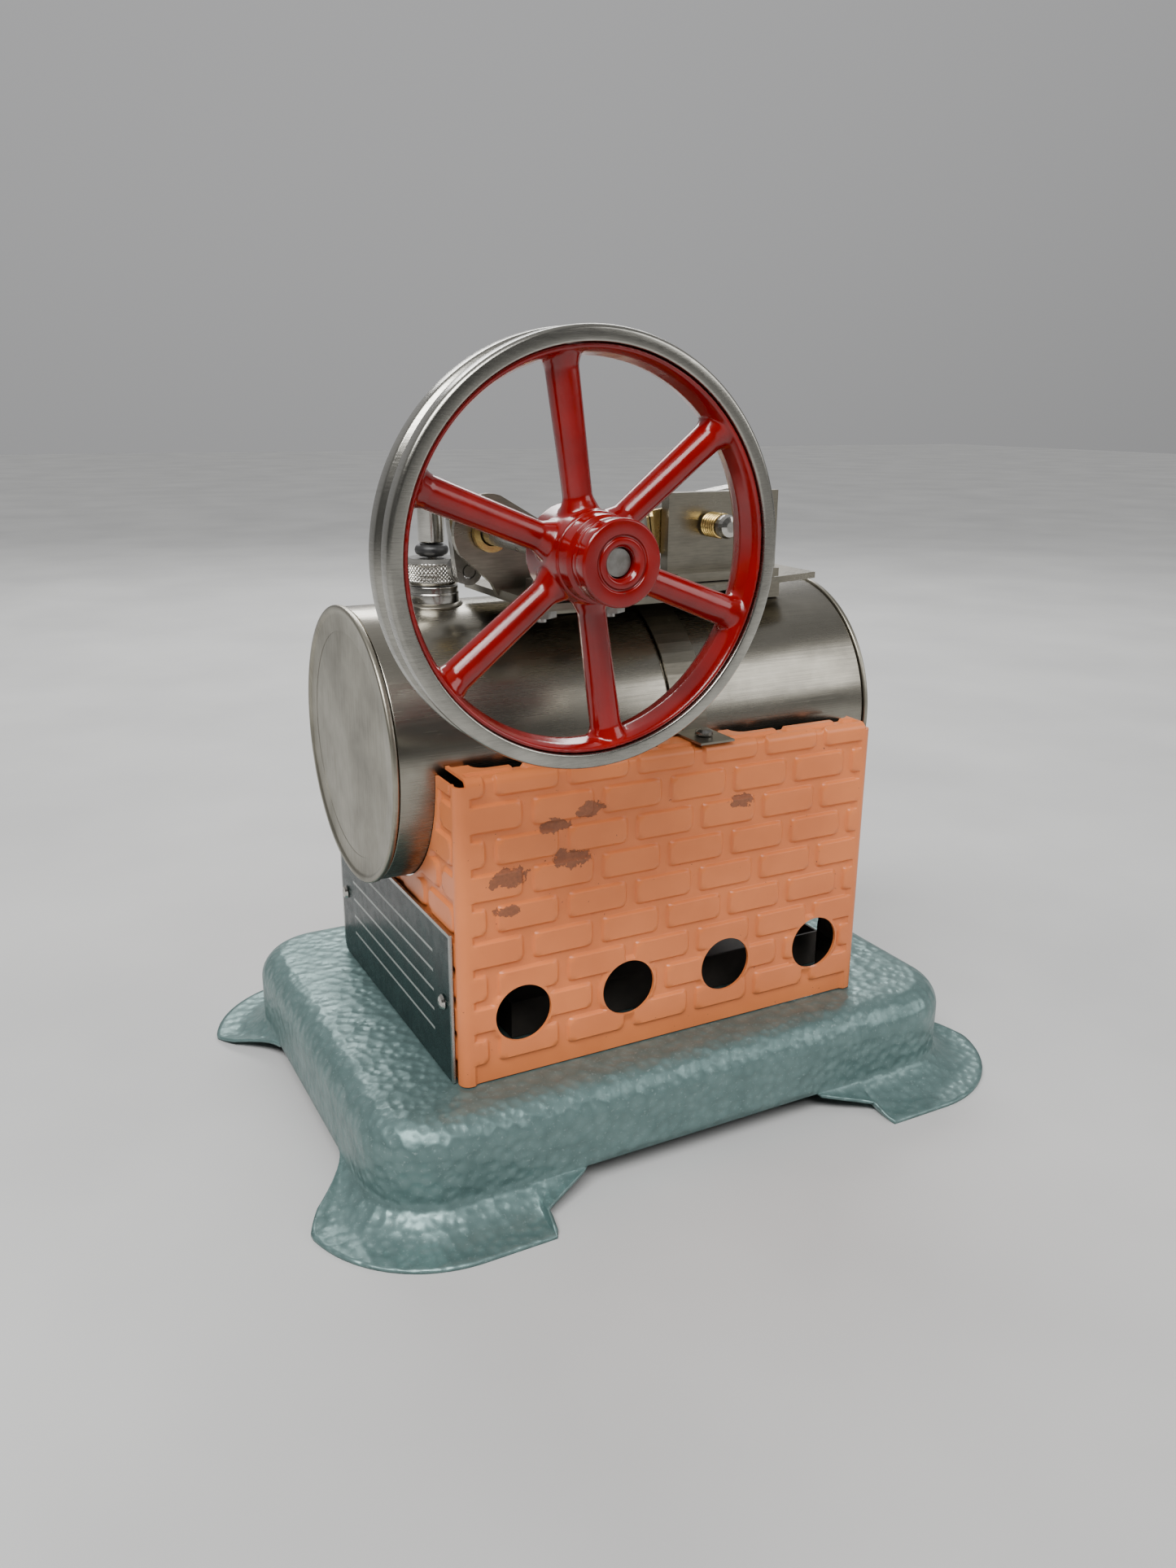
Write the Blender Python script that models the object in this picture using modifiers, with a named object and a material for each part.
"""Model steam engine: brick firebox on a pressed base, horizontal boiler, oscillating cylinder.

Run with: blender --background --python part.py
Metres, +Z up.  X runs along the boiler, -Y is the flywheel side.  The origin is on the floor,
under the middle of the whole engine's bounding box.
"""

import math

import bmesh
import bpy
from mathutils import Matrix, Vector

# ---- general clearances -------------------------------------------------------------------
GAP = 0.0003            # between neighbouring pieces that touch on the real engine
CUT_MARGIN = 0.002      # how far a cutter runs past the wall it cuts
ROUND_STEPS = 40        # facets of a large turned piece
SMALL_STEPS = 20        # facets of a small turned piece

# ---- pressed base -------------------------------------------------------------------------
BASE_WALL_X = 0.1586    # outer length of the drawn wall
BASE_WALL_Y = 0.1150
BASE_HEIGHT = 0.0238
BASE_CORNER = 0.0170    # plan radius of the drawn wall
BASE_BEND = 0.0070      # radius between the top and the wall
BASE_SHEET = 0.0008
FLANGE_REACH = 0.0132   # how far a foot stands out from the wall
WALL_FOOT_Z = 0.0051    # where the wall ends over the cut-outs
FRONT_CUT_HALF = 0.0320
FRONT_FOOT_END = 0.0461
SIDE_CUT_HALF = 0.0260
SIDE_FOOT_START = 0.0440     # from here a foot narrows towards the side cut-out

# ---- firebox ------------------------------------------------------------------------------
FIREBOX_LEFT = -0.0560
FIREBOX_RIGHT = 0.0520
FIREBOX_FRONT = -0.0445
FIREBOX_HEIGHT = 0.0705
FIREBOX_SHEET = 0.0007
FIREBOX_CORNER = 0.0022
FLANGE_BEND = 0.0018
VENT_RADIUS = 0.0067
VENT_COUNT = 4
VENT_PITCH = 0.02656
FIRST_VENT_FROM_LEFT = 0.0148
VENT_HEIGHT = 0.0154    # vent centres above the base's top
SCALLOP_DEPTH = 0.0042
SCALLOP_END_LAND = 0.0068
TAB_LAND = 0.0190       # flange left whole where the strap's tab sits
DOOR_HALF = 0.0290
DOOR_HEIGHT = 0.0250

# ---- nameplate ----------------------------------------------------------------------------
NAMEPLATE_WIDTH = 0.0790
NAMEPLATE_UNDER_BOILER = 0.0012
NAMEPLATE_SHEET = 0.0006
NAMEPLATE_LIFT = 0.0004
NAMEPLATE_RIVET_INSET = 0.0045
NAMEPLATE_RIVET_HEIGHT = 0.0180
RIVET_SHANK = 0.0010
RIVET_HEAD = 0.0018

# ---- boiler -------------------------------------------------------------------------------
BOILER_Y = -0.0018
BOILER_SINK = 0.0021    # the boiler's axis lies this far under the firebox's top
BOILER_LEFT = -0.0652
BOILER_RIGHT = 0.0599
BOILER_RADIUS = 0.0313
BOILER_WALL = 0.0008
CAP_LIP = 0.00045       # the end disc stands proud of the shell
CAP_THICK = 0.0013
CAP_SPIGOT = 0.0020

# ---- boiler strap -------------------------------------------------------------------------
STRAP_X = 0.0068
STRAP_WIDTH = 0.0090
STRAP_SHEET = 0.0005
STRAP_SCREW_HEAD = 0.0021
STRAP_SCREW_SHANK = 0.0011
STRAP_SCREW_INSET = 0.0052

# ---- safety valve -------------------------------------------------------------------------
VALVE_X = -0.0433
COLLAR_RADIUS = 0.0059
COLLAR_HEIGHT = 0.0040
KNURL_RADIUS = 0.0061
KNURL_HEIGHT = 0.0058
SHANK_RADIUS = 0.0034
VALVE_BORE = 0.0025
SPINDLE_RADIUS = 0.0009
STEM_RADIUS = 0.0030
STEM_HEIGHT = 0.0118
SEAL_RADIUS = 0.0038
SEAL_HEIGHT = 0.0027
VALVE_SPRING_RADIUS = 0.0018
VALVE_SPRING_WIRE = 0.00030
RUNNING_CLEARANCE = 0.0003

# ---- engine bed, bracket and port plate ----------------------------------------------------
BED_RISE = 0.0042       # the bed's top over the boiler's
BED_SHEET = 0.0015
SADDLE_WIDTH = 0.0100
SADDLE_FRONT = -0.0150
SADDLE_BACK = 0.0080
BRACKET_FRONT = -0.0280
BRACKET_SHEET = 0.0015
BRACKET_FOOT_REACH = 0.0110
BOSS_RADIUS = 0.0078
BUSH_RADIUS = 0.0031
BUSH_FLANGE = 0.0040
BOLT_SHANK = 0.0012
BOLT_HEX = 0.0028
BOLT_HEAD_HEIGHT = 0.0022
PORT_FRONT = -0.0226
PORT_THICK = 0.0032
PORT_LEFT = 0.0062
PORT_RIGHT = 0.0365
PORT_HEIGHT = 0.0200
PORT_FOOT_HEIGHT = 0.0020
PORT_FOOT_REACH = 0.0045
NIPPLE_RADIUS = 0.0020
NIPPLE_X = 0.0290

# ---- running gear -------------------------------------------------------------------------
SHAFT_X = -0.0405
SHAFT_RISE = 0.0137     # the shaft's height over the bed's top
SHAFT_RADIUS = 0.0024
BEARING_CLEARANCE = 0.0003
CRANK_RADIUS = 0.0094
CRANK_WEB_THICK = 0.0024
CRANK_WEB_END = 0.0030
CRANK_WEB_HUB = 0.0046
CRANK_PIN_RADIUS = 0.0013
PIN_OPEN_GAP = 0.0003   # the crank pin stops this far short of the rod's eye
EYE_RADIUS = 0.0030
EYE_HOLE = 0.0016
EYE_THICK = 0.0028
ROD_Y = -0.0125
ROD_RADIUS = 0.00125
PIVOT_X = 0.0170
PIVOT_RISE = 0.0128     # the pivot's height over the bed's top
CYLINDER_RADIUS = 0.0062
CYLINDER_BORE = 0.0046
CYLINDER_BACKWARD = 0.0215   # from the pivot towards the crank
CYLINDER_FORWARD = 0.0170    # from the pivot away from the crank
GLAND_LENGTH = 0.0040
GLAND_RADIUS = 0.0048
CYLINDER_CAP_THICK = 0.0022
PISTON_LENGTH = 0.0060
PISTON_TO_PIN = 0.0490
PORT_FACE_THICK = 0.0012
PORT_FACE_HALF_WIDTH = 0.0125
PORT_FACE_HALF_HEIGHT = 0.0050
PIVOT_PIN_RADIUS = 0.0012
PIVOT_SPRING_RADIUS = 0.0029
PIVOT_SPRING_WIRE = 0.00045
PIVOT_SPRING_LENGTH = 0.0062
PIVOT_SPRING_TURNS = 5
PIVOT_NUT_RADIUS = 0.0027
PIVOT_NUT_HEIGHT = 0.0026

# ---- flywheel -----------------------------------------------------------------------------
WHEEL_RADIUS = 0.0381
WHEEL_WIDTH = 0.0101
WHEEL_BACK = -0.0652
RIM_INNER = 0.0345
RIM_INNER_BACK = 0.0337
RIM_GROOVE_DEPTH = 0.0016
RIM_GROOVE_HALF = 0.0016
SPOKE_COUNT = 6
SPOKE_PHASE = math.radians(38.3)
SPOKE_ROOT = 0.0026
SPOKE_TIP = 0.0030
HUB_RADIUS = 0.0087
HUB_NECK = 0.0069
HUB_NOSE = 0.0075
HUB_NOSE_LENGTH = 0.0028
HUB_NECK_LENGTH = 0.0030
HUB_FRONT_STEP = 0.0030      # how far the hub's thick part stands in front of the rim
HUB_BACK_STEP = 0.0010
GRUB_RADIUS = 0.0012
GRUB_LENGTH = 0.0030

# ---- fuel tray ----------------------------------------------------------------------------
TRAY_SHEET = 0.0008
TRAY_HEIGHT = 0.0090
TRAY_SIDE_CLEARANCE = 0.0020
TRAY_LENGTH = 0.0900
TRAY_HANDLE_REACH = 0.0140
TRAY_HANDLE_HALF = 0.0090

# ---- values worked out from the driving dimensions -----------------------------------------
BASE_OUTER_Y = BASE_WALL_Y / 2 + FLANGE_REACH
WHEEL_FRONT = WHEEL_BACK - WHEEL_WIDTH
HUB_FRONT = WHEEL_FRONT - HUB_FRONT_STEP
NOSE_FRONT = HUB_FRONT - HUB_NECK_LENGTH - HUB_NOSE_LENGTH
FRAME_Y = -(BASE_OUTER_Y + NOSE_FRONT) / 2

FIREBOX_BOTTOM = BASE_HEIGHT + GAP
FIREBOX_TOP = FIREBOX_BOTTOM + FIREBOX_HEIGHT
FIREBOX_BACK = 2 * BOILER_Y - FIREBOX_FRONT
FIREBOX_HALF_DEPTH = (FIREBOX_BACK - FIREBOX_FRONT) / 2
BOILER_Z = FIREBOX_TOP - BOILER_SINK
BOILER_TOP = BOILER_Z + BOILER_RADIUS
NAMEPLATE_BOTTOM = FIREBOX_BOTTOM + NAMEPLATE_LIFT
NAMEPLATE_HEIGHT = BOILER_Z - BOILER_RADIUS - NAMEPLATE_UNDER_BOILER - NAMEPLATE_BOTTOM
BED_TOP = BOILER_TOP + BED_RISE
BED_BOTTOM = BED_TOP - BED_SHEET
STRAP_OUTER = BOILER_RADIUS + GAP + STRAP_SHEET
FLANGE_EDGE = STRAP_OUTER + GAP
PORT_BACK = PORT_FRONT + PORT_THICK
PORT_TOP = BED_TOP + PORT_HEIGHT
SHAFT_Z = BED_TOP + SHAFT_RISE
PIVOT_Z = BED_TOP + PIVOT_RISE
CRANK_PIN_Z = SHAFT_Z - CRANK_RADIUS
ROD_ANGLE = math.atan2(PIVOT_Z - CRANK_PIN_Z, PIVOT_X - SHAFT_X)
EYE_FRONT = ROD_Y - EYE_THICK / 2
PIN_END = EYE_FRONT - PIN_OPEN_GAP
WEB_BACK = PIN_END - GAP
WEB_FRONT = WEB_BACK - CRANK_WEB_THICK

ALONG_X = Matrix.Rotation(math.radians(90), 4, "Y")
ALONG_Y = Matrix.Rotation(math.radians(-90), 4, "X")
ALONG_Z = Matrix.Identity(4)
FACING_FRONT = Matrix.Rotation(math.radians(90), 4, "X")


# ---- scene helpers ------------------------------------------------------------------------
def clear_scene():
    for item in list(bpy.data.objects):
        bpy.data.objects.remove(item, do_unlink=True)


def new_collection(name):
    collection = bpy.data.collections.new(name)
    bpy.context.scene.collection.children.link(collection)
    return collection


def new_material(name, colour, roughness, metallic):
    material = bpy.data.materials.new(name)
    material.use_nodes = True
    shader = material.node_tree.nodes["Principled BSDF"]
    shader.inputs["Base Color"].default_value = (*colour, 1.0)
    shader.inputs["Roughness"].default_value = roughness
    shader.inputs["Metallic"].default_value = metallic
    return material


clear_scene()
PARTS = new_collection("model_steam_engine")
CUTTERS = new_collection("cutters")
FRAME = bpy.data.objects.new("engine_frame_origin", None)
PARTS.objects.link(FRAME)
FRAME.location = (0, FRAME_Y, 0)

TEAL = new_material("hammertone_teal", (0.09, 0.17, 0.16), 0.35, 0.4)
BRICK = new_material("brick_enamel", (0.64, 0.24, 0.12), 0.45, 0.0)
NICKEL = new_material("nickel_plate", (0.38, 0.36, 0.31), 0.25, 1.0)
BRASS = new_material("brass", (0.70, 0.52, 0.20), 0.25, 1.0)
RED = new_material("red_enamel", (0.35, 0.005, 0.003), 0.2, 0.0)
BLACK = new_material("black_rubber", (0.01, 0.01, 0.01), 0.5, 0.0)
PLATE = new_material("plate_enamel", (0.01, 0.02, 0.02), 0.3, 0.0)
STEEL = new_material("steel", (0.30, 0.30, 0.29), 0.35, 1.0)


def add_object(name, mesh, material, matrix):
    """A part of the engine, placed in the engine's own frame."""
    piece = bpy.data.objects.new(name, mesh)
    PARTS.objects.link(piece)
    piece.parent = FRAME
    piece.matrix_basis = matrix
    piece.data.materials.append(material)
    return piece


def as_cutter(piece):
    """Turns a piece into a hidden helper for Booleans."""
    PARTS.objects.unlink(piece)
    CUTTERS.objects.link(piece)
    piece.hide_render = True
    piece.display_type = "WIRE"
    piece.hide_viewport = False
    return piece


def smooth(piece):
    piece.data.shade_smooth()
    piece.data.set_sharp_from_angle(angle=math.radians(35))


def box(name, low, high, material):
    """A block between two opposite corners."""
    low = Vector(low)
    high = Vector(high)
    form = bmesh.new()
    bmesh.ops.create_cube(form, size=1.0)
    bmesh.ops.scale(form, vec=high - low, verts=form.verts)
    mesh = bpy.data.meshes.new(name)
    form.to_mesh(mesh)
    form.free()
    return add_object(name, mesh, material, Matrix.Translation((low + high) / 2))


def cylinder(name, radius, start, end, direction, material, steps=SMALL_STEPS):
    """A plain round bar: start is the centre of one end, and end is how far it runs."""
    form = bmesh.new()
    bmesh.ops.create_cone(
        form,
        cap_ends=True,
        segments=steps,
        radius1=radius,
        radius2=radius,
        depth=end,
        matrix=Matrix.Translation((0, 0, end / 2)),
    )
    mesh = bpy.data.meshes.new(name)
    form.to_mesh(mesh)
    form.free()
    piece = add_object(name, mesh, material, Matrix.Translation(start) @ direction)
    smooth(piece)
    return piece


def turned(name, profile, start, direction, material, steps=SMALL_STEPS, closed=True):
    """A turned piece. The profile is (radius, height), down its outer side and up its inner side."""
    mesh = bpy.data.meshes.new(name)
    points = [(radius, 0, height) for radius, height in profile]
    edges = [(i, i + 1) for i in range(len(points) - 1)]
    if closed:
        edges.append((len(points) - 1, 0))
    mesh.from_pydata(points, edges, [])
    piece = add_object(name, mesh, material, Matrix.Translation(start) @ direction)
    screw = piece.modifiers.new("turn", "SCREW")
    screw.axis = "Z"
    screw.steps = steps
    screw.render_steps = steps
    screw.use_merge_vertices = True
    screw.merge_threshold = 0.00001
    screw.use_smooth_shade = False
    return piece


def solid_profile(*steps_down):
    """Profile of a solid turned piece from (radius, height) steps, listed top to bottom."""
    top = steps_down[0][1]
    bottom = steps_down[-1][1]
    return [(0, top), *steps_down, (0, bottom)]


def arc(centre, radius, start, end, count):
    """Points along an arc, with angles in degrees."""
    points = []
    for i in range(count + 1):
        angle = math.radians(start + (end - start) * i / count)
        points.append((centre[0] + radius * math.cos(angle), centre[1] + radius * math.sin(angle)))
    return points


def plate(name, outline, thickness, matrix, material):
    """A flat piece cut to an outline, centred on its own plane, as a mesh that takes Booleans."""
    curve = bpy.data.curves.new(name, "CURVE")
    curve.dimensions = "2D"
    curve.fill_mode = "BOTH"
    curve.extrude = thickness / 2
    spline = curve.splines.new("POLY")
    spline.points.add(len(outline) - 1)
    for point, (x, y) in zip(spline.points, outline):
        point.co = (x, y, 0, 1)
    spline.use_cyclic_u = True
    drawn = bpy.data.objects.new(name + "_outline", curve)
    CUTTERS.objects.link(drawn)
    bpy.context.view_layer.update()
    graph = bpy.context.evaluated_depsgraph_get()
    mesh = bpy.data.meshes.new_from_object(drawn.evaluated_get(graph))
    bpy.data.objects.remove(drawn, do_unlink=True)
    form = bmesh.new()
    form.from_mesh(mesh)
    bmesh.ops.remove_doubles(form, verts=form.verts, dist=0.00001)
    bmesh.ops.recalc_face_normals(form, faces=form.faces)
    form.to_mesh(mesh)
    form.free()
    mesh.name = name
    mesh.materials.clear()
    return add_object(name, mesh, material, matrix)


def tube(name, points, radius, material, resolution=2):
    """A wire along the points, in the engine's frame."""
    curve = bpy.data.curves.new(name, "CURVE")
    curve.dimensions = "3D"
    curve.bevel_depth = radius
    curve.bevel_resolution = resolution
    curve.use_fill_caps = True
    spline = curve.splines.new("POLY")
    spline.points.add(len(points) - 1)
    for item, co in zip(spline.points, points):
        item.co = (*co, 1)
    return add_object(name, curve, material, Matrix.Identity(4))


def boolean(piece, other, operation):
    modifier = piece.modifiers.new(operation.lower() + "_" + other.name, "BOOLEAN")
    modifier.operation = operation
    modifier.object = as_cutter(other)
    return piece


def cut(piece, other):
    return boolean(piece, other, "DIFFERENCE")


def join(piece, other):
    return boolean(piece, other, "UNION")


def hex_piece(name, centre, across, height, material):
    """A hexagonal head or nut standing on its centre point."""
    return cylinder(name, across / math.cos(math.radians(30)), centre, height, ALONG_Z, material, 6)


# ---- base ---------------------------------------------------------------------------------
def side_share(y):
    """How much of its full reach a foot has at this point of the side wall."""
    along = (y - SIDE_CUT_HALF) / (SIDE_FOOT_START - SIDE_CUT_HALF)
    return min(1.0, max(0.0, along)) ** 1.6


def base_stations():
    """Stations round a quarter of the wall: (point on the wall, outward normal, foot's share)."""
    half_x = BASE_WALL_X / 2
    half_y = BASE_WALL_Y / 2
    centre = Vector((half_x - BASE_CORNER, half_y - BASE_CORNER))
    stations = [(Vector((0, half_y)), Vector((0, 1)), 0)]
    for along, share in ((0, 0), (0.36, 0.20), (0.70, 0.38), (0.94, 0.52), (1, 1)):
        x = FRONT_CUT_HALF + (FRONT_FOOT_END - FRONT_CUT_HALF) * along
        stations.append((Vector((x, half_y)), Vector((0, 1)), share))
    for i in range(9):
        angle = math.radians(90 - 90 * i / 8)
        normal = Vector((math.cos(angle), math.sin(angle)))
        point = centre + BASE_CORNER * normal
        stations.append((point, normal, side_share(point.y)))
    for along in (0.62, 0.28, 0):
        y = SIDE_CUT_HALF + (centre.y - SIDE_CUT_HALF) * along
        stations.append((Vector((half_x, y)), Vector((1, 0)), side_share(y)))
    stations.append((Vector((half_x, 0)), Vector((1, 0)), 0))
    return stations


def whole_loop(quarter):
    """Mirrors the quarter's stations round all four corners, without repeating those on the axes."""
    loop = []
    for flip_x, flip_y, backwards in ((1, 1, False), (1, -1, True), (-1, -1, False), (-1, 1, True)):
        stations = quarter[:-1] if not backwards else quarter[:0:-1]
        for point, normal, share in stations:
            flip = Vector((flip_x, flip_y))
            loop.append((point * flip, normal * flip, share))
    return loop


def build_base():
    """Top, bend and wall run all round; the flange is left off over the four cut-outs."""
    loop = whole_loop(base_stations())
    bend = [(BASE_BEND * (1 - math.sin(math.radians(a))), BASE_BEND * (1 - math.cos(math.radians(a))))
            for a in (0, 22.5, 45, 67.5, 90)]
    foot = ((0.22, 0.46), (0.46, 0.14), (0.70, 0.0), (1.0, 0.0))
    form = bmesh.new()
    rings = []
    for inset, down in bend:
        rings.append([form.verts.new((*(p - n * inset), BASE_HEIGHT - down)) for p, n, share in loop])
    rings.append([form.verts.new((*p, WALL_FOOT_Z)) for p, n, share in loop])
    wall_rings = len(rings)
    edge_drop = WALL_FOOT_Z - BASE_SHEET
    for out, stay in foot:
        ring = []
        for point, normal, share in loop:
            place = point + normal * FLANGE_REACH * share * out
            ring.append(form.verts.new((*place, WALL_FOOT_Z - edge_drop * (1 - stay) * share)))
        rings.append(ring)
    form.faces.new(rings[0])
    for k in range(len(rings) - 1):
        for i in range(len(loop)):
            j = (i + 1) % len(loop)
            no_flange = loop[i][2] == 0 and loop[j][2] == 0
            if k >= wall_rings - 1 and no_flange:
                continue
            form.faces.new((rings[k][i], rings[k + 1][i], rings[k + 1][j], rings[k][j]))
    bmesh.ops.delete(form, geom=[v for v in form.verts if not v.link_faces], context="VERTS")
    bmesh.ops.remove_doubles(form, verts=form.verts, dist=0.00001)
    bmesh.ops.recalc_face_normals(form, faces=form.faces)
    mesh = bpy.data.meshes.new("base_plate")
    form.to_mesh(mesh)
    form.free()
    base = add_object("base_plate", mesh, TEAL, Matrix.Identity(4))
    sheet = base.modifiers.new("sheet", "SOLIDIFY")
    sheet.thickness = BASE_SHEET
    sheet.offset = -1
    smooth(base)


# ---- firebox ------------------------------------------------------------------------------
def vent_places():
    return [FIREBOX_LEFT + FIRST_VENT_FROM_LEFT + i * VENT_PITCH for i in range(VENT_COUNT)]


def rivet_places():
    """(y, z) of the nameplate's two rivets, on the left end wall."""
    middle = BOILER_Y
    z = FIREBOX_BOTTOM + NAMEPLATE_RIVET_HEIGHT
    half = NAMEPLATE_WIDTH / 2 - NAMEPLATE_RIVET_INSET
    return [(middle - half, z), (middle + half, z)]


def strap_screw_places():
    """(x, y) of the two screws that hold the strap's tabs."""
    reach = FIREBOX_HALF_DEPTH - STRAP_SCREW_INSET
    return [(STRAP_X, BOILER_Y - reach), (STRAP_X, BOILER_Y + reach)]


def folded_box():
    """The firebox's sheet as an open surface: four walls and a top, with rounded folds."""
    form = bmesh.new()
    bmesh.ops.create_cube(form, size=1.0)
    size = Vector((FIREBOX_RIGHT - FIREBOX_LEFT, FIREBOX_BACK - FIREBOX_FRONT, FIREBOX_HEIGHT))
    bmesh.ops.scale(form, vec=size, verts=form.verts)
    bottom = [f for f in form.faces if f.normal.z < -0.5]
    bmesh.ops.delete(form, geom=bottom, context="FACES_ONLY")
    upright = [e for e in form.edges if abs(e.verts[0].co.z - e.verts[1].co.z) > 0.01]
    bmesh.ops.bevel(
        form, geom=upright, offset=FIREBOX_CORNER, segments=3, profile=0.5, affect="EDGES"
    )
    top_edges = [
        e for e in form.edges
        if min(v.co.z for v in e.verts) > size.z / 2 - 0.0001
    ]
    bmesh.ops.bevel(
        form, geom=top_edges, offset=FLANGE_BEND, segments=3, profile=0.5, affect="EDGES"
    )
    mesh = bpy.data.meshes.new("firebox")
    form.to_mesh(mesh)
    form.free()
    return mesh, size


def cut_top_flanges(firebox):
    """Leaves a flange along the front and back, with scallops and with the ends open."""
    cut(firebox, box(
        "top_opening",
        (FIREBOX_LEFT - CUT_MARGIN, BOILER_Y - FLANGE_EDGE, FIREBOX_TOP - FLANGE_BEND),
        (FIREBOX_RIGHT + CUT_MARGIN, BOILER_Y + FLANGE_EDGE, FIREBOX_TOP + CUT_MARGIN),
        BRICK,
    ))
    scallops = [
        (FIREBOX_LEFT + SCALLOP_END_LAND, STRAP_X - TAB_LAND / 2),
        (STRAP_X + TAB_LAND / 2, FIREBOX_RIGHT - SCALLOP_END_LAND / 4),
    ]
    edge = FLANGE_EDGE + SCALLOP_DEPTH
    for number, (left, right) in enumerate(scallops):
        scallop = box(
            f"scallop_{number}",
            (left, BOILER_Y - edge, FIREBOX_TOP - FLANGE_BEND),
            (right, BOILER_Y + edge, FIREBOX_TOP + CUT_MARGIN),
            BRICK,
        )
        cut(firebox, scallop)


def build_firebox():
    mesh, size = folded_box()
    centre = Vector((
        (FIREBOX_LEFT + FIREBOX_RIGHT) / 2,
        (FIREBOX_FRONT + FIREBOX_BACK) / 2,
        FIREBOX_BOTTOM + size.z / 2,
    ))
    firebox = add_object("firebox", mesh, BRICK, Matrix.Translation(centre))
    sheet = firebox.modifiers.new("sheet", "SOLIDIFY")
    sheet.thickness = FIREBOX_SHEET
    sheet.offset = -1
    sheet.use_even_offset = True
    cut_top_flanges(firebox)
    length = FIREBOX_RIGHT - FIREBOX_LEFT + 2 * CUT_MARGIN
    depth = FIREBOX_BACK - FIREBOX_FRONT + 2 * CUT_MARGIN
    start = (FIREBOX_LEFT - CUT_MARGIN, BOILER_Y, BOILER_Z)
    cut(firebox, cylinder(
        "boiler_arcs", BOILER_RADIUS + GAP, start, length, ALONG_X, BRICK, ROUND_STEPS
    ))
    for number, x in enumerate(vent_places()):
        start = (x, FIREBOX_FRONT - CUT_MARGIN, BASE_HEIGHT + VENT_HEIGHT)
        cut(firebox, cylinder(f"vent_{number}", VENT_RADIUS, start, depth, ALONG_Y, BRICK, 24))
    cut(firebox, box(
        "door_opening",
        (FIREBOX_RIGHT - FIREBOX_CORNER, BOILER_Y - DOOR_HALF, FIREBOX_BOTTOM - CUT_MARGIN),
        (FIREBOX_RIGHT + CUT_MARGIN, BOILER_Y + DOOR_HALF, FIREBOX_BOTTOM + DOOR_HEIGHT),
        BRICK,
    ))
    for number, (y, z) in enumerate(rivet_places()):
        start = (FIREBOX_LEFT - CUT_MARGIN, y, z)
        cut(firebox, cylinder(
            f"rivet_hole_{number}", RIVET_SHANK + GAP, start, 2 * CUT_MARGIN, ALONG_X, BRICK, 12
        ))
    for number, (x, y) in enumerate(strap_screw_places()):
        start = (x, y, FIREBOX_TOP - CUT_MARGIN)
        cut(firebox, cylinder(
            f"screw_hole_{number}", STRAP_SCREW_SHANK + GAP, start, 2 * CUT_MARGIN, ALONG_Z, BRICK, 12
        ))


def build_nameplate():
    """A blank enamelled plate with clipped lower corners, held by two rivets."""
    half = NAMEPLATE_WIDTH / 2
    corner = 0.0030
    outline = [(-half, NAMEPLATE_HEIGHT), (-half, 0)]
    outline += arc((half - corner, corner), corner, 270, 360, 4)
    outline += [(half, NAMEPLATE_HEIGHT)]
    x = FIREBOX_LEFT - NAMEPLATE_LIFT - NAMEPLATE_SHEET / 2
    upright = Matrix.Rotation(math.radians(90), 4, "Z") @ Matrix.Rotation(math.radians(90), 4, "X")
    place = Matrix.Translation((x, BOILER_Y, FIREBOX_BOTTOM)) @ upright
    nameplate = plate("nameplate", outline, NAMEPLATE_SHEET, place, PLATE)
    for number, (y, z) in enumerate(rivet_places()):
        start = (x - CUT_MARGIN, y, z)
        cut(nameplate, cylinder(
            f"plate_hole_{number}", RIVET_SHANK + GAP, start, 2 * CUT_MARGIN, ALONG_X, PLATE, 12
        ))
        back = FIREBOX_LEFT + FIREBOX_SHEET + GAP
        face = FIREBOX_LEFT - NAMEPLATE_LIFT - NAMEPLATE_SHEET - GAP
        profile = solid_profile(
            (RIVET_HEAD * 0.8, 0.0006),
            (RIVET_HEAD * 0.8, 0),
            (RIVET_SHANK, 0),
            (RIVET_SHANK, face - back),
            (RIVET_HEAD, face - back),
            (RIVET_HEAD * 0.75, face - back - 0.0006),
            (RIVET_HEAD * 0.3, face - back - 0.0009),
        )
        turned(f"nameplate_rivet_{number + 1}", profile, (back, y, z), ALONG_X, NICKEL, 16)


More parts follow.
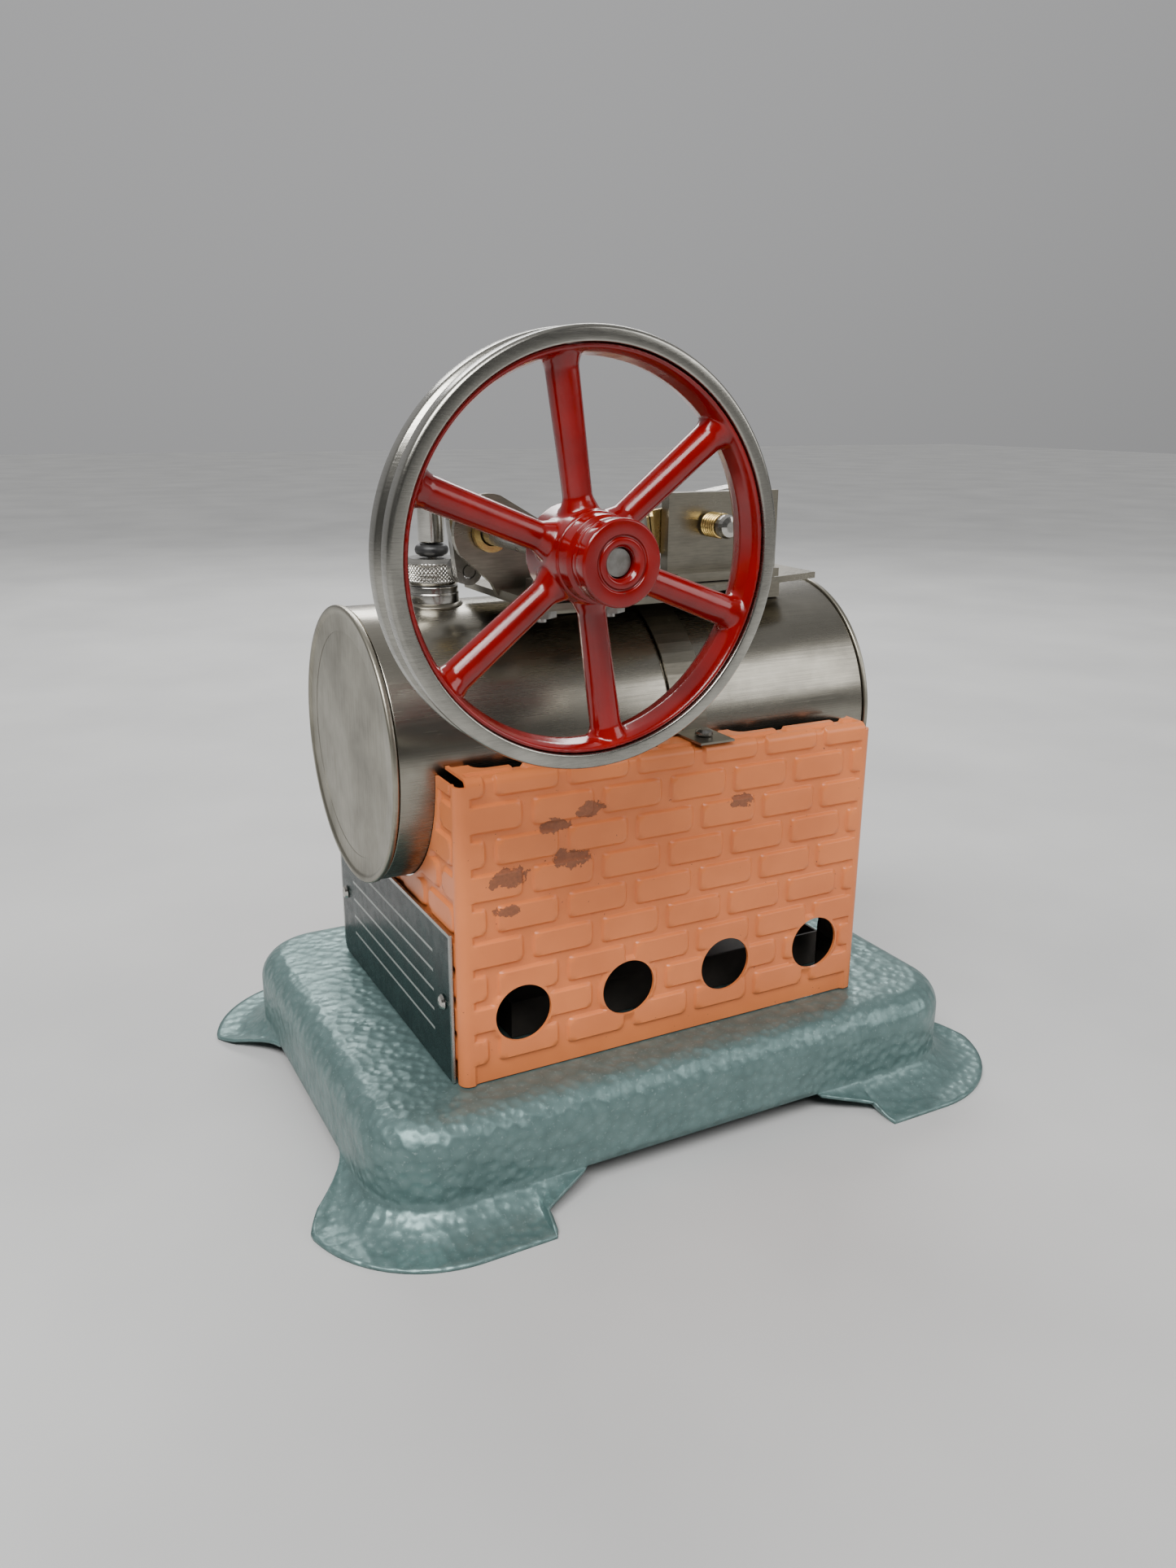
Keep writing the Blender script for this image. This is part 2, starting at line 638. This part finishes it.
# ---- boiler -------------------------------------------------------------------------------
def build_boiler():
    left = BOILER_LEFT + CAP_THICK + GAP
    right = BOILER_RIGHT - CAP_THICK - GAP
    length = right - left
    inner = BOILER_RADIUS - BOILER_WALL
    profile = [(BOILER_RADIUS, length), (BOILER_RADIUS, 0), (inner, 0), (inner, length)]
    shell = turned(
        "boiler_shell", profile, (left, BOILER_Y, BOILER_Z), ALONG_X, NICKEL, ROUND_STEPS
    )
    top = BOILER_TOP - 0.0050
    cut(shell, cylinder(
        "filler_hole", SHANK_RADIUS + 2 * GAP + 0.0008, (VALVE_X, BOILER_Y, top), 0.01, ALONG_Z, NICKEL
    ))
    nipple_start = (NIPPLE_X, (PORT_FRONT + PORT_BACK) / 2, BOILER_Z)
    cut(shell, cylinder(
        "steam_hole", NIPPLE_RADIUS + GAP, nipple_start, BOILER_RADIUS, ALONG_Z, NICKEL
    ))
    lip = BOILER_RADIUS + CAP_LIP
    spigot = inner - GAP
    cap = [
        (0, CAP_SPIGOT),
        (spigot - 0.0010, CAP_SPIGOT),
        (spigot, CAP_SPIGOT - 0.0005),
        (spigot, 0),
        (lip, 0),
        (lip, -CAP_THICK * 0.6),
        (lip - 0.0006, -CAP_THICK),
        (lip - 0.0014, -CAP_THICK),
        (lip - 0.0018, -CAP_THICK * 0.55),
        (0, -CAP_THICK * 0.55),
    ]
    turned("boiler_end_left", cap, (left - GAP, BOILER_Y, BOILER_Z), ALONG_X, NICKEL, ROUND_STEPS, False)
    turn = ALONG_X @ Matrix.Rotation(math.radians(180), 4, "X")
    turned("boiler_end_right", cap, (right + GAP, BOILER_Y, BOILER_Z), turn, NICKEL, ROUND_STEPS, False)


def build_strap():
    """A band over the boiler with a tab at each side, screwed to the firebox's top flanges."""
    inner = BOILER_RADIUS + GAP
    outer = STRAP_OUTER
    low = FIREBOX_TOP + GAP - BOILER_Z
    high = low + STRAP_SHEET
    reach = FIREBOX_HALF_DEPTH + 0.0006
    inner_angle = math.degrees(math.asin(low / inner))
    outer_angle = math.degrees(math.asin(high / outer))
    outline = [(reach, low), (reach, high)]
    outline += arc((0, 0), outer, outer_angle, 180 - outer_angle, 36)
    outline += [(-reach, high), (-reach, low)]
    outline += arc((0, 0), inner, 180 - inner_angle, inner_angle, 36)
    upright = Matrix.Rotation(math.radians(90), 4, "Z") @ Matrix.Rotation(math.radians(90), 4, "X")
    place = Matrix.Translation((STRAP_X, BOILER_Y, BOILER_Z)) @ upright
    strap = plate("boiler_strap", outline, STRAP_WIDTH, place, NICKEL)
    for number, (x, y) in enumerate(strap_screw_places()):
        side = ("front", "back")[number]
        start = (x, y, FIREBOX_TOP - CUT_MARGIN)
        cut(strap, cylinder(
            f"strap_hole_{side}", STRAP_SCREW_SHANK + GAP, start, 3 * CUT_MARGIN, ALONG_Z, NICKEL, 12
        ))
        seat = FIREBOX_TOP + GAP + STRAP_SHEET + GAP
        nut_top = FIREBOX_TOP - FIREBOX_SHEET - GAP
        nut_height = 0.0014
        profile = solid_profile(
            (STRAP_SCREW_HEAD * 0.6, 0.0012),
            (STRAP_SCREW_HEAD, 0.0007),
            (STRAP_SCREW_HEAD, 0),
            (STRAP_SCREW_SHANK, 0),
            (STRAP_SCREW_SHANK, nut_top - nut_height - 0.0010 - seat),
        )
        turned(f"strap_screw_{side}", profile, (x, y, seat), ALONG_Z, STEEL, 16, False)
        nut = hex_piece(
            f"strap_nut_{side}", (x, y, nut_top - nut_height), 0.0021, nut_height, STEEL
        )
        cut(nut, cylinder(
            f"nut_hole_{side}", STRAP_SCREW_SHANK + GAP, (x, y, nut_top - 0.004), 0.008, ALONG_Z, STEEL, 12
        ))


# ---- safety valve -------------------------------------------------------------------------
def build_safety_valve():
    """A bushing in the boiler, a knurled body screwed into it, and a sprung pull stem."""
    place = (VALVE_X, BOILER_Y, 0)
    sag = BOILER_RADIUS - math.sqrt(BOILER_RADIUS ** 2 - COLLAR_RADIUS ** 2)
    collar_bottom = BOILER_TOP - sag
    collar_top = BOILER_TOP + COLLAR_HEIGHT
    spigot = SHANK_RADIUS + GAP + 0.0008
    bushing = turned(
        "filler_bushing",
        [
            (COLLAR_RADIUS, collar_top),
            (COLLAR_RADIUS, collar_bottom),
            (spigot, collar_bottom),
            (spigot, BOILER_TOP - 0.0040),
            (SHANK_RADIUS + GAP, BOILER_TOP - 0.0040),
            (SHANK_RADIUS + GAP, collar_top),
        ],
        place, ALONG_Z, NICKEL, 28,
    )
    over = cylinder(
        "boiler_cheek", BOILER_RADIUS + GAP, (VALVE_X - 0.02, BOILER_Y, BOILER_Z), 0.04, ALONG_X,
        NICKEL, 96,
    )
    core = cylinder("bushing_core", spigot, (VALVE_X, BOILER_Y, BOILER_Z), 0.05, ALONG_Z, NICKEL, 28)
    cut(over, core)
    cut(bushing, over)
    body_bottom = collar_top + GAP
    body_top = body_bottom + KNURL_HEIGHT
    chamber_top = body_top - 0.0012
    shank_bottom = BOILER_TOP - 0.0030
    turned(
        "safety_valve_body",
        [
            (SPINDLE_RADIUS + RUNNING_CLEARANCE, body_top),
            (KNURL_RADIUS - 0.0008, body_top),
            (KNURL_RADIUS, body_top - 0.0008),
            (KNURL_RADIUS, body_bottom + 0.0004),
            (KNURL_RADIUS - 0.0004, body_bottom),
            (SHANK_RADIUS, body_bottom),
            (SHANK_RADIUS, shank_bottom),
            (VALVE_BORE, shank_bottom),
            (VALVE_BORE, chamber_top),
            (SPINDLE_RADIUS + RUNNING_CLEARANCE, chamber_top),
        ],
        place, ALONG_Z, NICKEL, 28,
    )
    seal_bottom = body_top + GAP
    seal_middle = seal_bottom + SEAL_HEIGHT / 2
    ring = [
        (r, z + seal_middle)
        for r, z in arc((SEAL_RADIUS - SEAL_HEIGHT / 2, 0), SEAL_HEIGHT / 2, 90, -240, 11)
    ]
    turned("valve_seal", ring, place, ALONG_Z, BLACK, 24)
    stem_bottom = seal_bottom + SEAL_HEIGHT + GAP
    stem_top = stem_bottom + STEM_HEIGHT
    spindle_foot = shank_bottom + 0.0006
    turned(
        "valve_stem",
        solid_profile(
            (STEM_RADIUS - 0.0005, stem_top),
            (STEM_RADIUS, stem_top - 0.0005),
            (STEM_RADIUS, stem_bottom),
            (SPINDLE_RADIUS, stem_bottom),
            (SPINDLE_RADIUS, spindle_foot + 0.0010),
            (VALVE_BORE - RUNNING_CLEARANCE, spindle_foot + 0.0010),
            (VALVE_BORE - RUNNING_CLEARANCE, spindle_foot),
        ),
        place, ALONG_Z, NICKEL, 24, False,
    )
    spring_bottom = spindle_foot + 0.0010 + GAP + VALVE_SPRING_WIRE
    spring_top = chamber_top - GAP - VALVE_SPRING_WIRE
    helix(
        "valve_spring", Matrix.Translation((VALVE_X, BOILER_Y, spring_bottom)),
        VALVE_SPRING_RADIUS, spring_top - spring_bottom, 5, VALVE_SPRING_WIRE, STEEL,
    )


def helix(name, place, radius, length, turns, wire, material):
    per_turn = 14
    count = turns * per_turn
    points = []
    for i in range(count + 1):
        angle = 2 * math.pi * i / per_turn
        local = Vector((radius * math.cos(angle), radius * math.sin(angle), length * i / count))
        points.append(place @ local)
    return tube(name, points, wire, material, 1)


# ---- engine frame -------------------------------------------------------------------------
def bolt_places():
    y = BRACKET_FRONT - BRACKET_FOOT_REACH * 0.45
    return [(SHAFT_X + 0.0095, y), (SHAFT_X + 0.0260, y)]


def saddle_places():
    return [STRAP_X - STRAP_WIDTH / 2 - SADDLE_WIDTH - 0.0110, NIPPLE_X + NIPPLE_RADIUS + 0.0030]


def build_bed():
    """The engine's bed plate, held off the boiler by two soldered saddles."""
    left = SHAFT_X + 0.0055
    right = PORT_RIGHT + 0.0125
    back = ROD_Y + 0.0120
    front = BRACKET_FRONT - BRACKET_FOOT_REACH - 0.0010
    outline = [
        (left, front),
        (PORT_LEFT - 0.0050, front),
        (PORT_LEFT + 0.0080, PORT_FRONT - PORT_FOOT_REACH - 0.0040),
        (right, PORT_FRONT),
        (right, back),
        (left, back),
    ]
    place = Matrix.Translation((0, 0, BED_TOP - BED_SHEET / 2))
    bed = plate("bed_plate", outline, BED_SHEET, place, NICKEL)
    for number, (x, y) in enumerate(bolt_places()):
        start = (x, y, BED_BOTTOM - CUT_MARGIN)
        cut(bed, cylinder(
            f"bed_bolt_hole_{number}", BOLT_SHANK + GAP, start, 3 * CUT_MARGIN, ALONG_Z, NICKEL, 12
        ))
    start = (NIPPLE_X, (PORT_FRONT + PORT_BACK) / 2, BED_BOTTOM - CUT_MARGIN)
    cut(bed, cylinder(
        "bed_nipple_hole", NIPPLE_RADIUS + GAP, start, 3 * CUT_MARGIN, ALONG_Z, NICKEL, 16
    ))
    for number, x in enumerate(saddle_places()):
        saddle = box(
            f"bed_saddle_{number + 1}",
            (x, SADDLE_FRONT, BOILER_Z + BOILER_RADIUS * 0.8),
            (x + SADDLE_WIDTH, SADDLE_BACK, BED_BOTTOM - GAP),
            NICKEL,
        )
        start = (x - CUT_MARGIN, BOILER_Y, BOILER_Z)
        cut(saddle, cylinder(
            f"saddle_arc_{number}", BOILER_RADIUS + GAP, start, SADDLE_WIDTH + 2 * CUT_MARGIN,
            ALONG_X, NICKEL, 96,
        ))


def build_bracket():
    """An upright plate with a rounded boss for the shaft, and a foot bolted to the bed."""
    foot_bottom = BED_TOP + GAP
    foot_top = foot_bottom + BRACKET_SHEET
    foot_left = SHAFT_X + 0.0020
    foot_right = SHAFT_X + 0.0325
    outline = arc((SHAFT_X, SHAFT_Z), BOSS_RADIUS, 70, 215, 14)
    outline += [
        (foot_left - 0.0015, foot_bottom + 0.0028),
        (foot_left, foot_bottom),
        (foot_right, foot_bottom),
        (foot_right, foot_top + 0.0020),
    ]
    place = Matrix.Translation((0, BRACKET_FRONT + BRACKET_SHEET / 2, 0)) @ FACING_FRONT
    bracket = plate("bearing_bracket", outline, BRACKET_SHEET, place, NICKEL)
    foot = box(
        "bracket_foot",
        (foot_left, BRACKET_FRONT - BRACKET_FOOT_REACH, foot_bottom),
        (foot_right, BRACKET_FRONT + BRACKET_SHEET / 2, foot_top),
        NICKEL,
    )
    join(bracket, foot)
    start = (SHAFT_X, BRACKET_FRONT - CUT_MARGIN, SHAFT_Z)
    cut(bracket, cylinder(
        "bush_hole", BUSH_RADIUS + GAP, start, BRACKET_SHEET + 2 * CUT_MARGIN, ALONG_Y, NICKEL, 28
    ))
    for number, (x, y) in enumerate(bolt_places()):
        start = (x, y, foot_bottom - CUT_MARGIN)
        cut(bracket, cylinder(
            f"foot_bolt_hole_{number}", BOLT_SHANK + GAP, start, 3 * CUT_MARGIN, ALONG_Z, NICKEL, 12
        ))
        build_bolt(number + 1, x, y, foot_top + GAP, BED_BOTTOM - GAP)
    bore = SHAFT_RADIUS + BEARING_CLEARANCE
    front = BRACKET_FRONT - GAP
    back = WEB_FRONT - GAP - 0.0003
    turned(
        "shaft_bush",
        [
            (BUSH_RADIUS, back - front),
            (BUSH_RADIUS, 0),
            (BUSH_FLANGE, 0),
            (BUSH_FLANGE, -0.0014),
            (bore, -0.0014),
            (bore, back - front),
        ],
        (SHAFT_X, front, SHAFT_Z), ALONG_Y, BRASS, 28,
    )


def build_bolt(number, x, y, seat, nut_top):
    head = hex_piece(f"bracket_bolt_{number}", (x, y, seat), BOLT_HEX, BOLT_HEAD_HEIGHT, STEEL)
    shank_low = nut_top - 0.0030
    shank = cylinder(
        f"bolt_shank_{number}", BOLT_SHANK, (x, y, shank_low), seat + 0.001 - shank_low, ALONG_Z,
        STEEL, 12,
    )
    join(head, shank)
    nut = hex_piece(f"bracket_nut_{number}", (x, y, nut_top - 0.0020), BOLT_HEX, 0.0020, STEEL)
    cut(nut, cylinder(
        f"bracket_nut_hole_{number}", BOLT_SHANK + GAP, (x, y, nut_top - 0.004), 0.008, ALONG_Z,
        STEEL, 12,
    ))


def build_port_plate():
    """The upright port plate the cylinder rubs on, with its foot, its two ports and the pivot hole."""
    bottom = BED_TOP + GAP
    port = box(
        "port_plate", (PORT_LEFT, PORT_FRONT, bottom), (PORT_RIGHT, PORT_BACK, PORT_TOP), NICKEL
    )
    foot = box(
        "port_foot",
        (PORT_LEFT, PORT_FRONT - PORT_FOOT_REACH, bottom),
        (PORT_RIGHT - 0.0020, PORT_FRONT + PORT_THICK / 2, bottom + PORT_FOOT_HEIGHT),
        NICKEL,
    )
    join(port, foot)
    start = (PIVOT_X, PORT_FRONT - CUT_MARGIN, PIVOT_Z)
    depth = PORT_THICK + 2 * CUT_MARGIN
    cut(port, cylinder("pivot_hole", PIVOT_PIN_RADIUS + GAP, start, depth, ALONG_Y, NICKEL, 20))
    for number, side in enumerate((-1, 1)):
        angle = ROD_ANGLE + side * math.radians(9)
        x = PIVOT_X - 0.0080 * math.cos(angle)
        z = PIVOT_Z - 0.0080 * math.sin(angle)
        start = (x, PORT_BACK - 0.0012, z)
        cut(port, cylinder(f"steam_port_{number}", 0.0006, start, 0.003, ALONG_Y, NICKEL, 10))
    nipple_y = (PORT_FRONT + PORT_BACK) / 2
    sag = math.sqrt((BOILER_RADIUS - BOILER_WALL) ** 2 - (nipple_y - BOILER_Y) ** 2)
    low = BOILER_Z + sag - 0.0020
    top = bottom - GAP
    turned(
        "steam_nipple",
        [
            (NIPPLE_RADIUS, top - low),
            (NIPPLE_RADIUS, 0),
            (NIPPLE_RADIUS - 0.0007, 0),
            (NIPPLE_RADIUS - 0.0007, top - low),
        ],
        (NIPPLE_X, nipple_y, low), ALONG_Z, BRASS, 16,
    )


# ---- oscillating cylinder -------------------------------------------------------------------
def cylinder_matrix(along):
    """Local Z points along the cylinder, away from the crank; along is measured from the pivot."""
    tilt = Matrix.Rotation(math.radians(90) - ROD_ANGLE, 4, "Y")
    pivot = Matrix.Translation((PIVOT_X, ROD_Y, PIVOT_Z))
    return pivot @ tilt @ Matrix.Translation((0, 0, along))


def build_cylinder():
    face_back = PORT_BACK + GAP + PORT_FACE_THICK
    flat = face_back + GAP
    barrel_length = CYLINDER_BACKWARD + CYLINDER_FORWARD
    barrel = turned(
        "cylinder_barrel",
        [
            (CYLINDER_RADIUS, barrel_length),
            (CYLINDER_RADIUS, 0),
            (CYLINDER_BORE, 0),
            (CYLINDER_BORE, barrel_length),
        ],
        (0, 0, 0), ALONG_Z, NICKEL, 32,
    )
    barrel.matrix_basis = cylinder_matrix(-CYLINDER_BACKWARD)
    tilt = Matrix.Rotation(-ROD_ANGLE, 4, "Y")
    trim = box(
        "barrel_flat",
        (-0.04, flat - 0.02 - ROD_Y, -0.02),
        (0.04, flat - ROD_Y, 0.02),
        NICKEL,
    )
    trim.matrix_basis = Matrix.Translation((PIVOT_X, ROD_Y, PIVOT_Z)) @ tilt @ trim.matrix_basis
    cut(barrel, trim)
    face = box(
        "port_face",
        (-PORT_FACE_HALF_WIDTH, face_back - PORT_FACE_THICK - ROD_Y, -PORT_FACE_HALF_HEIGHT),
        (PORT_FACE_HALF_WIDTH - 0.0035, face_back - ROD_Y, PORT_FACE_HALF_HEIGHT),
        BRASS,
    )
    face.matrix_basis = Matrix.Translation((PIVOT_X, ROD_Y, PIVOT_Z)) @ tilt @ face.matrix_basis
    cut(face, cylinder(
        "face_pin_hole", PIVOT_PIN_RADIUS + GAP, (PIVOT_X, PORT_BACK - CUT_MARGIN, PIVOT_Z),
        2 * CUT_MARGIN + PORT_FACE_THICK, ALONG_Y, BRASS, 20,
    ))
    bore_gap = CYLINDER_BORE - RUNNING_CLEARANCE
    cap = turned(
        "cylinder_cap",
        solid_profile(
            (CYLINDER_RADIUS - 0.0008, CYLINDER_CAP_THICK),
            (CYLINDER_RADIUS - 0.0003, CYLINDER_CAP_THICK - 0.0005),
            (CYLINDER_RADIUS - 0.0003, 0),
            (bore_gap, 0),
            (bore_gap, -0.0020),
        ),
        (0, 0, 0), ALONG_Z, BRASS, 28, False,
    )
    cap.matrix_basis = cylinder_matrix(CYLINDER_FORWARD + GAP)
    hole = ROD_RADIUS + RUNNING_CLEARANCE
    gland = turned(
        "rod_gland",
        [
            (bore_gap, GLAND_LENGTH),
            (bore_gap, GLAND_LENGTH - 0.0020),
            (GLAND_RADIUS, GLAND_LENGTH - 0.0020),
            (GLAND_RADIUS, 0.0006),
            (GLAND_RADIUS - 0.0006, 0),
            (hole, 0),
            (hole, GLAND_LENGTH),
        ],
        (0, 0, 0), ALONG_Z, BRASS, 24,
    )
    gland.matrix_basis = cylinder_matrix(-CYLINDER_BACKWARD - GLAND_LENGTH + 0.0020 - GAP)


def pin_distance():
    return math.hypot(PIVOT_X - SHAFT_X, PIVOT_Z - CRANK_PIN_Z)


def build_piston():
    to_pin = pin_distance()
    piston = cylinder(
        "piston", CYLINDER_BORE - RUNNING_CLEARANCE, (0, 0, 0), PISTON_LENGTH, ALONG_Z, STEEL, 24
    )
    piston.matrix_basis = cylinder_matrix(PISTON_TO_PIN - to_pin)
    rod_end = PISTON_TO_PIN - GAP
    rod = cylinder("piston_rod", ROD_RADIUS, (0, 0, 0), rod_end - EYE_HOLE - 0.0007, ALONG_Z, STEEL, 16)
    rod.matrix_basis = cylinder_matrix(EYE_HOLE + 0.0007 - to_pin)
    eye = cylinder("rod_eye", EYE_RADIUS, (SHAFT_X, EYE_FRONT, CRANK_PIN_Z), EYE_THICK, ALONG_Y, STEEL, 24)
    join(rod, eye)
    cut(rod, cylinder(
        "eye_hole", EYE_HOLE, (SHAFT_X, EYE_FRONT - CUT_MARGIN, CRANK_PIN_Z),
        EYE_THICK + 2 * CUT_MARGIN, ALONG_Y, STEEL, 20,
    ))


def build_pivot():
    """Pin, spring and domed nut that hold the cylinder's face against the port plate."""
    spring_back = PORT_FRONT - GAP
    spring_front = spring_back - PIVOT_SPRING_LENGTH
    nut_back = spring_front - GAP
    pin_back = PORT_BACK + GAP + PORT_FACE_THICK
    pin_front = nut_back - PIVOT_NUT_HEIGHT * 0.5
    cylinder(
        "pivot_pin", PIVOT_PIN_RADIUS, (PIVOT_X, pin_front, PIVOT_Z), pin_back - pin_front,
        ALONG_Y, STEEL, 16,
    )
    place = Matrix.Translation((PIVOT_X, spring_front + PIVOT_SPRING_WIRE, PIVOT_Z)) @ ALONG_Y
    helix(
        "pivot_spring", place, PIVOT_SPRING_RADIUS - PIVOT_SPRING_WIRE,
        PIVOT_SPRING_LENGTH - 2 * PIVOT_SPRING_WIRE, PIVOT_SPRING_TURNS, PIVOT_SPRING_WIRE, BRASS,
    )
    hole = PIVOT_PIN_RADIUS + GAP
    turned(
        "pivot_nut",
        [
            (hole, 0),
            (PIVOT_NUT_RADIUS, 0),
            (PIVOT_NUT_RADIUS, -PIVOT_NUT_HEIGHT * 0.45),
            (PIVOT_NUT_RADIUS * 0.85, -PIVOT_NUT_HEIGHT * 0.8),
            (PIVOT_NUT_RADIUS * 0.45, -PIVOT_NUT_HEIGHT),
            (0, -PIVOT_NUT_HEIGHT),
            (0, -PIVOT_NUT_HEIGHT * 0.5 - GAP),
            (hole, -PIVOT_NUT_HEIGHT * 0.5 - GAP),
        ],
        (PIVOT_X, nut_back, PIVOT_Z), ALONG_Y, NICKEL, 20,
    )


# ---- crank and flywheel ---------------------------------------------------------------------
def build_crank():
    """Shaft, web and pin. The web's arm points straight down at rest."""
    shaft_start = HUB_FRONT - HUB_NECK_LENGTH - HUB_NOSE_LENGTH * 0.4
    shaft_end = WEB_FRONT + CRANK_WEB_THICK
    cylinder(
        "crankshaft", SHAFT_RADIUS, (SHAFT_X, shaft_start, SHAFT_Z), shaft_end - shaft_start,
        ALONG_Y, STEEL, 24,
    )
    outline = arc((0, 0), CRANK_WEB_HUB, 20, 160, 10)
    outline += arc((0, -CRANK_RADIUS), CRANK_WEB_END, 200, 340, 10)
    middle = (WEB_FRONT + WEB_BACK) / 2
    place = Matrix.Translation((SHAFT_X, middle, SHAFT_Z)) @ FACING_FRONT
    web = plate("crank_web", outline, CRANK_WEB_THICK, place, STEEL)
    start = (SHAFT_X, WEB_FRONT - CUT_MARGIN, SHAFT_Z)
    depth = CRANK_WEB_THICK + 2 * CUT_MARGIN
    cut(web, cylinder("web_shaft_hole", SHAFT_RADIUS + GAP, start, depth, ALONG_Y, STEEL, 24))
    start = (SHAFT_X, WEB_FRONT - CUT_MARGIN, CRANK_PIN_Z)
    cut(web, cylinder("web_pin_hole", CRANK_PIN_RADIUS + GAP, start, depth, ALONG_Y, STEEL, 16))
    cylinder(
        "crank_pin", CRANK_PIN_RADIUS, (SHAFT_X, WEB_FRONT, CRANK_PIN_Z), PIN_END - WEB_FRONT,
        ALONG_Y, STEEL, 16,
    )


def build_flywheel():
    """Cast wheel: grooved rim, six tapered spokes and a hub with a small pulley nose."""
    middle = (WHEEL_FRONT + WHEEL_BACK) / 2
    half = WHEEL_WIDTH / 2
    place = (SHAFT_X, middle, SHAFT_Z)
    wheel = turned(
        "flywheel",
        [
            (WHEEL_RADIUS - 0.0004, half),
            (WHEEL_RADIUS, half - 0.0006),
            (WHEEL_RADIUS, RIM_GROOVE_HALF),
            (WHEEL_RADIUS - RIM_GROOVE_DEPTH, RIM_GROOVE_HALF * 0.35),
            (WHEEL_RADIUS - RIM_GROOVE_DEPTH, -RIM_GROOVE_HALF * 0.35),
            (WHEEL_RADIUS, -RIM_GROOVE_HALF),
            (WHEEL_RADIUS, 0.0006 - half),
            (WHEEL_RADIUS - 0.0004, -half),
            (RIM_INNER + 0.0008, -half),
            (RIM_INNER, 0.0008 - half),
            (RIM_INNER_BACK, 0),
            (RIM_INNER_BACK, half - 0.0006),
            (RIM_INNER_BACK + 0.0006, half),
        ],
        place, ALONG_Y, RED, 64,
    )
    bore = SHAFT_RADIUS + GAP
    hub = turned(
        "wheel_hub",
        [
            (HUB_RADIUS, half + HUB_BACK_STEP),
            (HUB_RADIUS, HUB_FRONT - middle + 0.0008),
            (HUB_RADIUS - 0.0008, HUB_FRONT - middle),
            (HUB_NECK, HUB_FRONT - middle),
            (HUB_NECK, NOSE_FRONT - middle + HUB_NOSE_LENGTH),
            (HUB_NOSE, NOSE_FRONT - middle + HUB_NOSE_LENGTH),
            (HUB_NOSE, NOSE_FRONT - middle + 0.0004),
            (HUB_NOSE - 0.0004, NOSE_FRONT - middle),
            (bore, NOSE_FRONT - middle),
            (bore, half + HUB_BACK_STEP),
        ],
        place, ALONG_Y, RED, 36,
    )
    join(wheel, hub)
    inner = HUB_RADIUS - 0.0020
    outer = RIM_INNER_BACK + 0.0012
    for number in range(SPOKE_COUNT):
        angle = SPOKE_PHASE + 2 * math.pi * number / SPOKE_COUNT
        form = bmesh.new()
        bmesh.ops.create_cone(
            form, cap_ends=True, segments=14, radius1=SPOKE_ROOT, radius2=SPOKE_TIP,
            depth=outer - inner, matrix=Matrix.Translation((0, 0, (outer + inner) / 2)),
        )
        mesh = bpy.data.meshes.new(f"spoke_{number}")
        form.to_mesh(mesh)
        form.free()
        turn = Matrix.Rotation(math.radians(90) - angle, 4, "Y")
        spoke = add_object(f"spoke_{number}", mesh, RED, Matrix.Translation(place) @ turn)
        join(wheel, spoke)
    grub_y = HUB_FRONT + 0.0026
    grub_turn = Matrix.Rotation(math.radians(90) - SPOKE_PHASE - math.radians(30), 4, "Y")
    grub_place = Matrix.Translation((SHAFT_X, grub_y, SHAFT_Z)) @ grub_turn
    hole = cylinder("grub_hole", GRUB_RADIUS + GAP, (0, 0, 0), 0.02, ALONG_Z, RED, 12)
    hole.matrix_basis = grub_place
    cut(wheel, hole)
    grub = cylinder("hub_grub_screw", GRUB_RADIUS, (0, 0, 0), GRUB_LENGTH, ALONG_Z, STEEL, 12)
    grub.matrix_basis = grub_place @ Matrix.Translation((0, 0, SHAFT_RADIUS + GAP))


# ---- fuel tray ----------------------------------------------------------------------------
def build_fuel_tray():
    """A folded tray on the firebox floor, drawn out through the right end by its handle."""
    right = FIREBOX_RIGHT + TRAY_SHEET
    left = right - TRAY_LENGTH
    half = DOOR_HALF - TRAY_SIDE_CLEARANCE
    low = BASE_HEIGHT + GAP
    form = bmesh.new()
    bmesh.ops.create_cube(form, size=1.0)
    bmesh.ops.scale(form, vec=(right - left, 2 * half, TRAY_HEIGHT), verts=form.verts)
    lid = [f for f in form.faces if f.normal.z > 0.5]
    bmesh.ops.delete(form, geom=lid, context="FACES_ONLY")
    mesh = bpy.data.meshes.new("fuel_tray")
    form.to_mesh(mesh)
    form.free()
    centre = ((right + left) / 2, BOILER_Y, low + TRAY_HEIGHT / 2)
    tray = add_object("fuel_tray", mesh, STEEL, Matrix.Translation(centre))
    sheet = tray.modifiers.new("sheet", "SOLIDIFY")
    sheet.thickness = TRAY_SHEET
    sheet.offset = -1
    handle = box(
        "tray_handle_bar",
        (right - TRAY_SHEET / 2, BOILER_Y - TRAY_HANDLE_HALF, low + TRAY_HEIGHT - 0.0016),
        (right + TRAY_HANDLE_REACH, BOILER_Y + TRAY_HANDLE_HALF, low + TRAY_HEIGHT - 0.0004),
        STEEL,
    )
    join(tray, handle)


build_base()
build_firebox()
build_nameplate()
build_boiler()
build_strap()
build_safety_valve()
build_bed()
build_bracket()
build_port_plate()
build_cylinder()
build_piston()
build_pivot()
build_crank()
build_flywheel()
build_fuel_tray()
